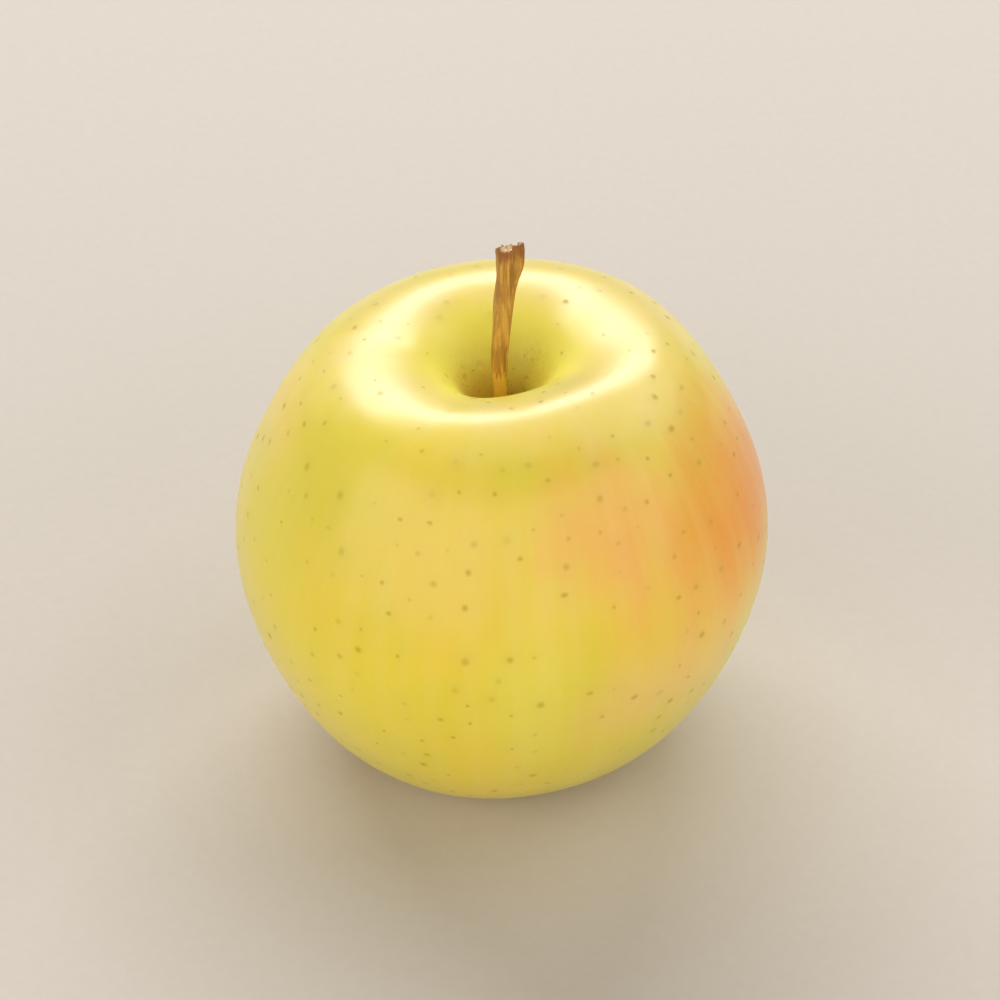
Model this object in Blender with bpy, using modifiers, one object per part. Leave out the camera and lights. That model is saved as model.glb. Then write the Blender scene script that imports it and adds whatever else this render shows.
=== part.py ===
"""A whole yellow apple standing on its base: the fruit, its woody stem and the dried calyx underneath.

Metres, +Z up. The origin is on the ground under the middle of the fruit, and -Y is the front.
"""

import math

import bpy
import numpy as np

MM = 0.001

# Driving sizes of the fruit
WIDTH = 88.0 * MM
HEIGHT = 77.2 * MM
WIDEST_LEVEL = 46.6 * MM
CREST_RADIUS = 20.8 * MM
CAVITY_DEPTH = 16.5 * MM
CAVITY_FLOOR_RADIUS = 2.2 * MM
CAVITY_FLOOR_RISE = 0.6 * MM
FOOT_RING_RADIUS = 14.0 * MM
BASIN_DEPTH = 9.0 * MM
REST_CUT = 0.25 * MM

# Five uneven ribs run down the fruit, counted anticlockwise from +X as seen from above
RIB_ANGLES = np.radians([335.0, 50.0, 103.0, 153.0, 233.0])
RIB_SPREAD = 0.62
RIB_AT_SHOULDER = 2.5 * MM
RIB_AT_FOOT = 0.65 * MM
FOOT_RIB = 0.12
FOOT_DEPTH = 1.5 * MM
FOOT_SPREAD = 7.0 * MM
FOOT_FADE = 6
SIDE_RISE = 0.034

# The ribs push the fruit to one side, so its turning axis stands a little off the middle
AXIS_X = -0.05 * MM
AXIS_Y = -0.70 * MM

# The stem: how far its middle stands to the right and to the back of the axis at each level
STEM_GAP = 0.5 * MM
STEM_FOOT = HEIGHT - CAVITY_DEPTH - REST_CUT + STEM_GAP
STEM_TOP = 94.0 * MM
STEM_ROUTE = [
    (0.2 * MM, 0.0 * MM, STEM_FOOT),
    (-0.3 * MM, 0.1 * MM, 72.5 * MM),
    (-0.1 * MM, 0.4 * MM, 79.0 * MM),
    (0.6 * MM, 1.0 * MM, 86.0 * MM),
    (1.5 * MM, 2.0 * MM, STEM_TOP),
]
STEM_RADIUS = 1.4 * MM
STEM_FLARE = 2.3 * MM
STEM_SOCKET = 0.9 * MM
STEM_SLANT = 0.4
SLANT_FADE = 8
STEM_RIDGES = 5
RIDGE_DEPTH = 0.05
RIDGE_TWIST = 1.5

# The calyx: five dried sepals round a small core, hanging in the basin
SEPALS = 5
SEPAL_REACH = 5.4 * MM
CALYX_CORE = 2.2 * MM
CALYX_GAP = 0.4 * MM
CALYX_LENGTH = 5.6 * MM
SEPAL_CUT = 0.62
SEPAL_LIFT = 1.6 * MM
SEPAL_TURN = 0.4

# How finely the shapes are divided
CURVE_POINTS = 1200
FRUIT_STEPS = 64
FRUIT_ROWS = 46
STEM_STEPS = 20
STEM_ROWS = 20
CALYX_STEPS = 40
CALYX_ROWS = 12
MERGE_WITHIN = 0.01 * MM
SHARP_FROM = math.radians(50)


def clear_scene():
    for obj in list(bpy.data.objects):
        bpy.data.objects.remove(obj, do_unlink=True)


def new_collection(name):
    collection = bpy.data.collections.new(name)
    bpy.context.scene.collection.children.link(collection)
    return collection


def finish_of(name, colour, roughness):
    """A plain dielectric finish in the piece's own colour, given in linear light."""
    material = bpy.data.materials.new(name)
    material.use_nodes = True
    shader = material.node_tree.nodes["Principled BSDF"]
    shader.inputs["Base Color"].default_value = (*colour, 1.0)
    shader.inputs["Roughness"].default_value = roughness
    shader.inputs["Metallic"].default_value = 0.0
    return material


def smooth_curve(stations, count):
    """A cubic spline through the stations, read at count points, with straight ends."""
    points = np.array(stations)
    steps = np.sqrt(np.linalg.norm(np.diff(points, axis=0), axis=1))
    knots = np.concatenate([[0.0], np.cumsum(steps)])
    size = len(points)
    matrix = np.eye(size)
    right = np.zeros_like(points)
    for i in range(1, size - 1):
        before, after = steps[i - 1], steps[i]
        matrix[i, i - 1 : i + 2] = before, 2 * (before + after), after
        right[i] = 6 * ((points[i + 1] - points[i]) / after - (points[i] - points[i - 1]) / before)
    bend = np.linalg.solve(matrix, right)
    at = np.linspace(0.0, knots[-1], count)
    i = np.clip(np.searchsorted(knots, at) - 1, 0, size - 2)
    span = steps[i][:, None]
    low = (knots[i + 1] - at)[:, None]
    high = (at - knots[i])[:, None]
    return (
        (bend[i] * low**3 + bend[i + 1] * high**3) / (6 * span)
        + (points[i] / span - bend[i] * span / 6) * low
        + (points[i + 1] / span - bend[i + 1] * span / 6) * high
    )


def turned_mesh(name, outline, steps):
    """The outline, radius and level from top to bottom, turned once about the Z axis."""
    profile = bpy.data.meshes.new(name + " outline")
    edges = [(i, i + 1) for i in range(len(outline) - 1)]
    profile.from_pydata([(radius, 0.0, level) for radius, level in outline], edges, [])
    guide = bpy.data.objects.new(name + " guide", profile)
    bpy.context.scene.collection.objects.link(guide)
    screw = guide.modifiers.new("Turn", "SCREW")
    screw.axis = "Z"
    screw.angle = math.tau
    screw.steps = steps
    screw.render_steps = steps
    screw.use_merge_vertices = True
    screw.merge_threshold = MERGE_WITHIN
    graph = bpy.context.evaluated_depsgraph_get()
    mesh = bpy.data.meshes.new_from_object(guide.evaluated_get(graph))
    bpy.data.objects.remove(guide, do_unlink=True)
    mesh.name = name
    return mesh


def reshape(mesh, rule):
    """Moves every point of the mesh to where the rule puts it, and the whole onto the turning axis."""
    points = np.empty(len(mesh.vertices) * 3)
    mesh.vertices.foreach_get("co", points)
    moved = rule(points.reshape(-1, 3)) + (AXIS_X, AXIS_Y, 0.0)
    mesh.vertices.foreach_set("co", moved.ravel())
    mesh.update()


def place(name, mesh, material, collection):
    obj = bpy.data.objects.new(name, mesh)
    mesh.materials.clear()
    mesh.materials.append(material)
    mesh.shade_smooth()
    mesh.set_sharp_from_angle(angle=SHARP_FROM)
    collection.objects.link(obj)
    return obj


def fruit_outline(rows):
    """Half section: cavity floor, crest, flank, foot ring and the middle of the basin."""
    radius = WIDTH / 2
    floor = HEIGHT - CAVITY_DEPTH
    stations = [
        (-CAVITY_FLOOR_RADIUS, floor + CAVITY_FLOOR_RISE),
        (0.0, floor),
        (CAVITY_FLOOR_RADIUS, floor + CAVITY_FLOOR_RISE),
        (0.24 * CREST_RADIUS, floor + 0.33 * CAVITY_DEPTH),
        (0.42 * CREST_RADIUS, floor + 0.69 * CAVITY_DEPTH),
        (0.61 * CREST_RADIUS, HEIGHT - 0.12 * CAVITY_DEPTH),
        (CREST_RADIUS, HEIGHT),
        (0.706 * radius, 0.939 * HEIGHT),
        (0.913 * radius, 0.754 * HEIGHT),
        (radius, WIDEST_LEVEL),
        (0.983 * radius, 0.403 * HEIGHT),
        (0.669 * radius, 0.072 * HEIGHT),
        (FOOT_RING_RADIUS, 0.0),
        (0.62 * FOOT_RING_RADIUS, 0.30 * BASIN_DEPTH),
        (0.28 * FOOT_RING_RADIUS, 0.86 * BASIN_DEPTH),
        (0.0, BASIN_DEPTH),
        (-0.28 * FOOT_RING_RADIUS, 0.86 * BASIN_DEPTH),
    ]
    line = smooth_curve(stations, CURVE_POINTS)
    first = np.argmin(np.linalg.norm(line - stations[1], axis=1))
    last = np.argmin(np.linalg.norm(line - stations[-2], axis=1))
    kept = np.linspace(first, last, rows).round().astype(int)
    outline = line[kept]
    outline[0, 0] = 0.0
    outline[-1, 0] = 0.0
    return outline


def rib_height(angle):
    """How far the ribs stand out at each angle, zero on average round the fruit."""
    away = (angle[:, None] - RIB_ANGLES + math.pi) % math.tau - math.pi
    swell = np.exp(-((away / RIB_SPREAD) ** 2)).sum(axis=1)
    return swell - len(RIB_ANGLES) * RIB_SPREAD / (2 * math.sqrt(math.pi))


def natural_fruit(points):
    """Ribs, the higher right side and the arches between the feet, then the flat spots it rests on."""
    x, y, z = points.T
    radius = np.hypot(x, y)
    rib = rib_height(np.arctan2(y, x))
    level = np.clip(z / HEIGHT, 0.0, 1.0)
    swell = (RIB_AT_FOOT + (RIB_AT_SHOULDER - RIB_AT_FOOT) * level) * rib
    grow = 1.0 + swell * np.minimum(radius / CREST_RADIUS, 1.0) / np.maximum(radius, MM)
    ring = np.exp(-(((radius - FOOT_RING_RADIUS) / FOOT_SPREAD) ** 2)) * (1.0 - level) ** FOOT_FADE
    arch = FOOT_DEPTH * ring * np.maximum(FOOT_RIB - rib, 0.0)
    high = z * (1.0 + SIDE_RISE * x / (WIDTH / 2)) + arch
    return np.stack([x * grow, y * grow, np.maximum(high - REST_CUT, 0.0)], axis=1)


def stem_outline():
    """Upright half section of the stem, with its broken top end hollowed like a cup."""
    length = STEM_TOP - STEM_FOOT
    stations = [
        (0.0, length - STEM_SOCKET),
        (0.45 * STEM_FLARE, length - 0.8 * STEM_SOCKET),
        (0.80 * STEM_FLARE, length - 0.15 * STEM_SOCKET),
        (0.97 * STEM_FLARE, length - 0.10 * STEM_SOCKET),
        (STEM_FLARE, length - 1.4 * MM),
        (0.79 * STEM_FLARE, 0.83 * length),
        (1.18 * STEM_RADIUS, 0.69 * length),
        (1.02 * STEM_RADIUS, 0.49 * length),
        (STEM_RADIUS, 0.35 * length),
        (0.84 * STEM_RADIUS, 0.24 * length),
        (0.84 * STEM_RADIUS, 0.07 * length),
        (0.70 * STEM_RADIUS, 0.0),
    ]
    sides = smooth_curve(stations, STEM_ROWS)
    return [*sides, (0.0, 0.0)]


def natural_stem(points):
    """Lengthwise ridges, and then the bend along the stem's route."""
    x, y, z = points.T
    length = STEM_TOP - STEM_FOOT
    angle = np.arctan2(y, x)
    ridge = 1.0 + RIDGE_DEPTH * np.cos(STEM_RIDGES * angle + RIDGE_TWIST * z / length)
    slant = STEM_SLANT * x * np.clip(z / length, 0.0, 1.0) ** SLANT_FADE
    route = smooth_curve(STEM_ROUTE, CURVE_POINTS)
    middle_x = np.interp(z + STEM_FOOT, route[:, 2], route[:, 0])
    middle_y = np.interp(z + STEM_FOOT, route[:, 2], route[:, 1])
    return np.stack([x * ridge + middle_x, y * ridge + middle_y, z + slant + STEM_FOOT], axis=1)


def calyx_outline():
    """Half section of the calyx: the core against the basin and the sepals' rim that hangs from it."""
    top = BASIN_DEPTH - REST_CUT - CALYX_GAP
    stations = [
        (0.0, top),
        (0.7 * CALYX_CORE, top - 0.4 * MM),
        (CALYX_CORE, top - 1.5 * MM),
        (0.72 * SEPAL_REACH, top - 3.2 * MM),
        (SEPAL_REACH, top - CALYX_LENGTH),
        (0.85 * SEPAL_REACH, top - CALYX_LENGTH + 0.1 * MM),
        (0.45 * SEPAL_REACH, top - 3.4 * MM),
        (0.0, top - 2.6 * MM),
    ]
    outline = smooth_curve(stations, CALYX_ROWS)
    outline[0, 0] = 0.0
    outline[-1, 0] = 0.0
    return outline


def natural_calyx(points):
    """Parts the rim into pointed sepals, deeper the further it stands from the core."""
    x, y, z = points.T
    radius = np.hypot(x, y)
    angle = np.arctan2(y, x)
    parted = 1.0 - np.abs(np.cos(SEPALS * angle / 2 + SEPAL_TURN))
    outer = np.clip((radius - CALYX_CORE) / (SEPAL_REACH - CALYX_CORE), 0.0, 1.0)
    keep = 1.0 - SEPAL_CUT * outer * parted
    lift = SEPAL_LIFT * outer * parted
    return np.stack([x * keep, y * keep, z + lift], axis=1)


def build():
    clear_scene()
    whole = new_collection("yellow apple")
    skin = finish_of("waxy yellow skin", (0.80, 0.66, 0.09), 0.35)
    bark = finish_of("dry stem bark", (0.42, 0.23, 0.06), 0.75)
    husk = finish_of("dried sepals", (0.16, 0.11, 0.06), 0.90)

    fruit = turned_mesh("apple", fruit_outline(FRUIT_ROWS), FRUIT_STEPS)
    reshape(fruit, natural_fruit)
    place("apple", fruit, skin, whole)

    stem = turned_mesh("stem", stem_outline(), STEM_STEPS)
    reshape(stem, natural_stem)
    place("stem", stem, bark, whole)

    calyx = turned_mesh("calyx", calyx_outline(), CALYX_STEPS)
    reshape(calyx, natural_calyx)
    place("calyx", calyx, husk, whole)


build()
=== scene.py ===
"""A whole yellow apple: its waxy skin with blush and pores, its woody stem and the dried calyx underneath.

Metres, +Z up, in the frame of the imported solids. -Y is the front, and the blush is on the right.
"""

import math

import bpy
import numpy as np
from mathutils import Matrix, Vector


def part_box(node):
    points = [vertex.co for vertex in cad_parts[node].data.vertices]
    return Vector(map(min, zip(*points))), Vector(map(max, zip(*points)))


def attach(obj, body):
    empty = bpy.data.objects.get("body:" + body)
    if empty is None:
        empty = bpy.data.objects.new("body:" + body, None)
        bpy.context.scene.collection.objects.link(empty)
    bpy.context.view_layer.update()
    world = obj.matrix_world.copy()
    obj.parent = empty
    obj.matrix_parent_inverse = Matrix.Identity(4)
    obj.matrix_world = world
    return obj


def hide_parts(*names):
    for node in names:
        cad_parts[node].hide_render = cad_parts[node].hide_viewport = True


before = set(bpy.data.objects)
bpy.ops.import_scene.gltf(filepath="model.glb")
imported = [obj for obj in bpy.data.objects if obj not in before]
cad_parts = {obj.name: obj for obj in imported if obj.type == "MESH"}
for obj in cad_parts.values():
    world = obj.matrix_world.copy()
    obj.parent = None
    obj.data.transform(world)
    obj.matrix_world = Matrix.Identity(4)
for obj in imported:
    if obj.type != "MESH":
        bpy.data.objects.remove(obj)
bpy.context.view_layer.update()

MM = 0.001

# Driving sizes of the fruit, as in the solids
WIDTH = 88.0 * MM
HEIGHT = 77.2 * MM
WIDEST_LEVEL = 46.6 * MM
CREST_RADIUS = 20.8 * MM
CAVITY_DEPTH = 16.5 * MM
CAVITY_FLOOR_RADIUS = 2.2 * MM
CAVITY_FLOOR_RISE = 0.6 * MM
FOOT_RING_RADIUS = 14.0 * MM
BASIN_DEPTH = 9.0 * MM
REST_CUT = 0.25 * MM
RIB_ANGLES = [335.0, 50.0, 103.0, 153.0, 233.0]
RIB_SPREAD = 0.62
RIB_AT_SHOULDER = 2.5 * MM
RIB_AT_FOOT = 0.65 * MM
FOOT_RIB = 0.12
FOOT_DEPTH = 1.5 * MM
FOOT_SPREAD = 7.0 * MM
FOOT_FADE = 6
SIDE_RISE = 0.034
AXIS = Vector((-0.05 * MM, -0.70 * MM, 0.0))

# The stem's sizes, as in the solids. Its route stays within about half a millimetre of theirs, and its foot
# reaches just into the skin of the cavity
STEM_FOOT = HEIGHT - CAVITY_DEPTH - REST_CUT + 0.5 * MM
STEM_TOP = 94.0 * MM
STEM_ROUTE = [
    (0.4 * MM, 0.0 * MM, STEM_FOOT),
    (-0.1 * MM, 0.1 * MM, 72.5 * MM),
    (0.3 * MM, 0.4 * MM, 79.0 * MM),
    (0.9 * MM, 1.0 * MM, 85.5 * MM),
    (1.75 * MM, 1.5 * MM, 90.2 * MM),
    (1.8 * MM, 2.0 * MM, STEM_TOP),
]
STEM_RADIUS = 1.4 * MM
STEM_FLARE = 2.3 * MM
STEM_SOCKET = 0.9 * MM

# The stem's broken end stands higher on the right and at the front, more so towards the very end
STEM_SLANT = 0.12
STEM_TILT = 0.55
TILT_DROP = 0.75 * MM
SLANT_FADE = 8

# How finely the skin is divided, how near its points are at the seam and poles where they are merged, and
# how far it lies inside the solid
SKIN_STEPS = 384
SKIN_ROWS = 250
POLE_MERGE = 0.006 * MM
SKIN_INSET = 0.12 * MM

# The basin's pleats and the shallow dents, which the solids leave out
PLEATS = 11
PLEAT_RADIUS = 5.0 * MM
PLEAT_SPREAD = 2.2 * MM
PLEAT_DEPTH = 0.25 * MM
PLEAT_SWAY = 0.9
DENT_DEPTH = 0.26 * MM
DENT_SIZE = 16.0 * MM

# The pores: small corky spots that stand a hair above the skin
PORE_SPACING = 3.5 * MM
PORE_DENSITY = 90000.0
PORE_SMALLEST = 0.55 * MM
PORE_LARGEST = 1.30 * MM
PORE_FAINTEST = 0.25
PORE_RISE = 0.025 * MM
PORE_SINK = 0.005 * MM
PORE_SEED = 11
PORE_PATCHES = 11 * MM

CURVE_POINTS = 1200


def smooth_curve(stations, count):
    """A cubic spline through the stations, read at count points, with straight ends."""
    points = np.array(stations)
    steps = np.sqrt(np.linalg.norm(np.diff(points, axis=0), axis=1))
    knots = np.concatenate([[0.0], np.cumsum(steps)])
    size = len(points)
    matrix = np.eye(size)
    right = np.zeros_like(points)
    for i in range(1, size - 1):
        before, after = steps[i - 1], steps[i]
        matrix[i, i - 1 : i + 2] = before, 2 * (before + after), after
        right[i] = 6 * ((points[i + 1] - points[i]) / after - (points[i] - points[i - 1]) / before)
    bend = np.linalg.solve(matrix, right)
    at = np.linspace(0.0, knots[-1], count)
    i = np.clip(np.searchsorted(knots, at) - 1, 0, size - 2)
    span = steps[i][:, None]
    low = (knots[i + 1] - at)[:, None]
    high = (at - knots[i])[:, None]
    return (
        (bend[i] * low**3 + bend[i + 1] * high**3) / (6 * span)
        + (points[i] / span - bend[i] * span / 6) * low
        + (points[i + 1] / span - bend[i + 1] * span / 6) * high
    )


def fruit_outline():
    """Half section: cavity floor, crest, flank, foot ring and the middle of the basin."""
    radius = WIDTH / 2
    floor = HEIGHT - CAVITY_DEPTH
    stations = [
        (-CAVITY_FLOOR_RADIUS, floor + CAVITY_FLOOR_RISE),
        (0.0, floor),
        (CAVITY_FLOOR_RADIUS, floor + CAVITY_FLOOR_RISE),
        (0.24 * CREST_RADIUS, floor + 0.33 * CAVITY_DEPTH),
        (0.42 * CREST_RADIUS, floor + 0.69 * CAVITY_DEPTH),
        (0.61 * CREST_RADIUS, HEIGHT - 0.12 * CAVITY_DEPTH),
        (CREST_RADIUS, HEIGHT),
        (0.706 * radius, 0.939 * HEIGHT),
        (0.913 * radius, 0.754 * HEIGHT),
        (radius, WIDEST_LEVEL),
        (0.983 * radius, 0.403 * HEIGHT),
        (0.669 * radius, 0.072 * HEIGHT),
        (FOOT_RING_RADIUS, 0.0),
        (0.62 * FOOT_RING_RADIUS, 0.30 * BASIN_DEPTH),
        (0.28 * FOOT_RING_RADIUS, 0.86 * BASIN_DEPTH),
        (0.0, BASIN_DEPTH),
        (-0.28 * FOOT_RING_RADIUS, 0.86 * BASIN_DEPTH),
    ]
    line = smooth_curve(stations, CURVE_POINTS)
    first = np.argmin(np.linalg.norm(line - stations[1], axis=1))
    last = np.argmin(np.linalg.norm(line - stations[-2], axis=1))
    outline = line[first : last + 1]
    outline[0, 0] = 0.0
    outline[-1, 0] = 0.0
    return outline


OUTLINE = fruit_outline()


# Node trees, and the short names of the nodes that they use most

MATH = "ShaderNodeMath"
VECTOR_MATH = "ShaderNodeVectorMath"
RANGE = "ShaderNodeMapRange"
MIX = "ShaderNodeMix"
NOISE = "ShaderNodeTexNoise"
SPLIT = "ShaderNodeSeparateXYZ"
JOIN = "ShaderNodeCombineXYZ"


def add(tree, kind, *inputs, **settings):
    """Adds a node with its settings and links. Inputs come in order, and a dictionary names them. A node
    given as an input links its first live output."""
    node = tree.nodes.new(kind)
    for name, value in settings.items():
        setattr(node, name, value)
    pairs = [pair for i, value in enumerate(inputs)
             for pair in (value.items() if isinstance(value, dict) else [(i, value)])]
    for key, value in pairs:
        named = [s for s in node.inputs if key in (s.identifier, s.name)]
        socket = node.inputs[key] if isinstance(key, int) else named[0]
        if isinstance(value, bpy.types.Node):
            value = next(output for output in value.outputs if output.enabled)
        if isinstance(value, bpy.types.NodeSocket):
            tree.links.new(value, socket)
        else:
            socket.default_value = value
    return node


def linear(colour):
    """A colour given as sRGB hex, in linear light."""
    parts = [int(colour[i : i + 2], 16) / 255 for i in (1, 3, 5)]
    return (*[c / 12.92 if c <= 0.04045 else ((c + 0.055) / 1.055) ** 2.4 for c in parts], 1.0)


def new_geometry_tree(name, inputs):
    """A geometry tree with a geometry in and out, and named inputs as (name, socket kind, value)."""
    tree = bpy.data.node_groups.new(name, "GeometryNodeTree")
    tree.interface.new_socket("Geometry", in_out="INPUT", socket_type="NodeSocketGeometry")
    for label, kind, value in inputs:
        socket = tree.interface.new_socket(label, in_out="INPUT", socket_type="NodeSocket" + kind)
        if value is not None:
            socket.default_value = value
    tree.interface.new_socket("Geometry", in_out="OUTPUT", socket_type="NodeSocketGeometry")
    return tree, tree.nodes.new("NodeGroupInput").outputs


def made_by_nodes(name, source, tree, chosen):
    """Runs the tree on the source object with the chosen inputs. Returns the result as a plain object."""
    modifier = source.modifiers.new(tree.name, "NODES")
    modifier.node_group = tree
    for item in tree.interface.items_tree:
        if item.in_out == "INPUT" and item.name in chosen:
            modifier[item.identifier] = chosen[item.name]
    source.update_tag()
    graph = bpy.context.evaluated_depsgraph_get()
    mesh = bpy.data.meshes.new_from_object(source.evaluated_get(graph))
    mesh.name = name
    piece = bpy.data.objects.new(name, mesh)
    bpy.context.scene.collection.objects.link(piece)
    bpy.data.objects.remove(source, do_unlink=True)
    return piece


def new_material(name):
    """An empty material and its node tree."""
    material = bpy.data.materials.new(name)
    material.use_nodes = True
    material.node_tree.nodes.clear()
    return material, material.node_tree


# The skin's shape

def bell(tree, away, spread):
    """A soft bump: 1 where away is nothing, falling off smoothly over the spread."""
    away = add(tree, MATH, away, spread, operation="DIVIDE")
    away = add(tree, MATH, away, away, operation="MULTIPLY")
    away = add(tree, MATH, away, -1.0, operation="MULTIPLY")
    return add(tree, MATH, away, operation="EXPONENT")


def skin_tree():
    """Turns the outline about the axis and gives it ribs, arches between the feet and shallow dents."""
    tree, given = new_geometry_tree("turned fruit", [
        ("Steps", "Int", SKIN_STEPS),
        ("Rows", "Int", SKIN_ROWS),
        ("Rib at shoulder", "Float", RIB_AT_SHOULDER),
        ("Rib at foot", "Float", RIB_AT_FOOT),
        ("Rib spread", "Float", RIB_SPREAD),
        ("Foot depth", "Float", FOOT_DEPTH),
        ("Pleat depth", "Float", PLEAT_DEPTH),
        ("Side rise", "Float", SIDE_RISE),
        ("Rest cut", "Float", REST_CUT),
        ("Inset", "Float", SKIN_INSET),
        ("Dent depth", "Float", DENT_DEPTH),
        ("Dent size", "Float", DENT_SIZE),
        ("Skin", "Material", None),
    ])
    columns = add(tree, MATH, given["Steps"], 1, operation="ADD")
    grid = add(tree, "GeometryNodeMeshGrid", {
        "Size X": 1.0, "Size Y": 1.0, "Vertices X": given["Rows"], "Vertices Y": columns,
    })
    place = add(tree, SPLIT, add(tree, "GeometryNodeInputPosition"))
    along = add(tree, MATH, place.outputs["X"], 0.5, operation="ADD")
    angle = add(tree, MATH, place.outputs["Y"], -math.tau, math.pi, operation="MULTIPLY_ADD")
    cosine = add(tree, MATH, angle, operation="COSINE")
    sine = add(tree, MATH, angle, operation="SINE")
    section = add(tree, "GeometryNodeSampleCurve", {
        "Curves": given["Geometry"], "Factor": along,
    }, mode="FACTOR", use_all_curves=True)
    section = add(tree, SPLIT, section.outputs["Position"])
    radius, height = section.outputs["X"], section.outputs["Z"]

    # The ribs: one soft swell at each of their angles, less their mean, so that the width stays
    rib = -len(RIB_ANGLES) * RIB_SPREAD / (2 * math.sqrt(math.pi))
    for rib_angle in RIB_ANGLES:
        away = add(tree, MATH, angle, math.radians(rib_angle), operation="SUBTRACT")
        away = add(tree, MATH, away, math.pi, -math.pi, operation="WRAP")
        rib = add(tree, MATH, rib, bell(tree, away, given["Rib spread"]), operation="ADD")
    level = add(tree, RANGE, {"Value": height, "From Max": HEIGHT})
    swell = add(tree, MIX, {
        "Factor_Float": level, "A_Float": given["Rib at foot"], "B_Float": given["Rib at shoulder"],
    }, data_type="FLOAT")
    inner = add(tree, RANGE, {"Value": radius, "From Max": CREST_RADIUS})
    swell = add(tree, MATH, swell, rib, operation="MULTIPLY")
    radius_now = add(tree, MATH, swell, inner, radius, operation="MULTIPLY_ADD")

    # The arches between the feet
    ring = add(tree, MATH, radius, FOOT_RING_RADIUS, operation="SUBTRACT")
    ring = bell(tree, ring, FOOT_SPREAD)
    low = add(tree, MATH, 1.0, level, operation="SUBTRACT")
    low = add(tree, MATH, low, FOOT_FADE, operation="POWER")
    arch = add(tree, MATH, FOOT_RIB, rib, operation="SUBTRACT")
    arch = add(tree, MATH, arch, 0.0, operation="MAXIMUM")
    arch = add(tree, MATH, arch, ring, operation="MULTIPLY")
    arch = add(tree, MATH, arch, low, operation="MULTIPLY")
    arch = add(tree, MATH, arch, given["Foot depth"], operation="MULTIPLY")

    # Fine pleats in the basin, close round the calyx
    pleat = add(tree, MATH, add(tree, MATH, angle, 3.0, operation="MULTIPLY"), operation="SINE")
    pleat = add(tree, MATH, pleat, PLEAT_SWAY, add(tree, MATH, angle, PLEATS, operation="MULTIPLY"),
                operation="MULTIPLY_ADD")
    pleat = add(tree, MATH, pleat, operation="COSINE")
    near = add(tree, MATH, radius, PLEAT_RADIUS, operation="SUBTRACT")
    pleat = add(tree, MATH, pleat, bell(tree, near, PLEAT_SPREAD), operation="MULTIPLY")
    pleat = add(tree, MATH, pleat, low, operation="MULTIPLY")
    arch = add(tree, MATH, pleat, given["Pleat depth"], arch, operation="MULTIPLY_ADD")

    # One side is a little taller than the other, and the feet are cut flat
    side = add(tree, MATH, radius, cosine, operation="MULTIPLY")
    side = add(tree, MATH, side, 2 / WIDTH, operation="MULTIPLY")
    side = add(tree, MATH, side, given["Side rise"], 1.0, operation="MULTIPLY_ADD")
    high = add(tree, MATH, height, side, arch, operation="MULTIPLY_ADD")
    high = add(tree, MATH, high, given["Rest cut"], operation="SUBTRACT")
    high = add(tree, MATH, high, 0.0, operation="MAXIMUM")
    shaped = add(tree, JOIN, {
        "X": add(tree, MATH, radius_now, cosine, AXIS.x, operation="MULTIPLY_ADD"),
        "Y": add(tree, MATH, radius_now, sine, AXIS.y, operation="MULTIPLY_ADD"),
        "Z": high,
    })
    turned = add(tree, "GeometryNodeSetPosition", {"Geometry": grid, "Position": shaped})
    closed = add(tree, "GeometryNodeMergeByDistance", {"Geometry": turned, "Distance": POLE_MERGE})

    # Shallow dents, pressed inwards and none near the feet
    where = add(tree, "GeometryNodeInputPosition")
    scale = add(tree, MATH, 1.0, given["Dent size"], operation="DIVIDE")
    dents = add(tree, NOISE, {"Vector": where, "Scale": scale, "Detail": 1.0})
    depth = add(tree, MATH, dents, given["Dent depth"], given["Inset"], operation="MULTIPLY_ADD")
    free = add(tree, RANGE, {
        "Value": add(tree, SPLIT, where).outputs["Z"], "From Max": 8.0 * MM, "To Max": -1.0,
    }, interpolation_type="SMOOTHSTEP")
    depth = add(tree, MATH, depth, free, operation="MULTIPLY")
    normal = add(tree, "GeometryNodeInputNormal")
    inward = add(tree, VECTOR_MATH, {0: normal, "Scale": depth}, operation="SCALE")
    dented = add(tree, "GeometryNodeSetPosition", {"Geometry": closed, "Offset": inward})
    smooth = add(tree, "GeometryNodeSetShadeSmooth", {"Geometry": dented})
    real = add(tree, "GeometryNodeRealizeInstances", {"Geometry": smooth})
    finished = add(tree, "GeometryNodeSetMaterial", {"Geometry": real, "Material": given["Skin"]})
    add(tree, "NodeGroupOutput", finished)
    return tree


def outline_curve():
    """The fruit's half section as a curve in the XZ plane, from the basin up to the cavity floor."""
    data = bpy.data.curves.new("fruit outline", "CURVE")
    data.dimensions = "3D"
    spline = data.splines.new("POLY")
    spline.points.add(len(OUTLINE) - 1)
    for point, (radius, level) in zip(spline.points, OUTLINE[::-1]):
        point.co = (radius, 0.0, level, 1.0)
    curve = bpy.data.objects.new("fruit outline", data)
    bpy.context.scene.collection.objects.link(curve)
    return curve


def make_skin(material):
    return made_by_nodes("fruit_skin", outline_curve(), skin_tree(), {"Skin": material})


# The pores

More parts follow.
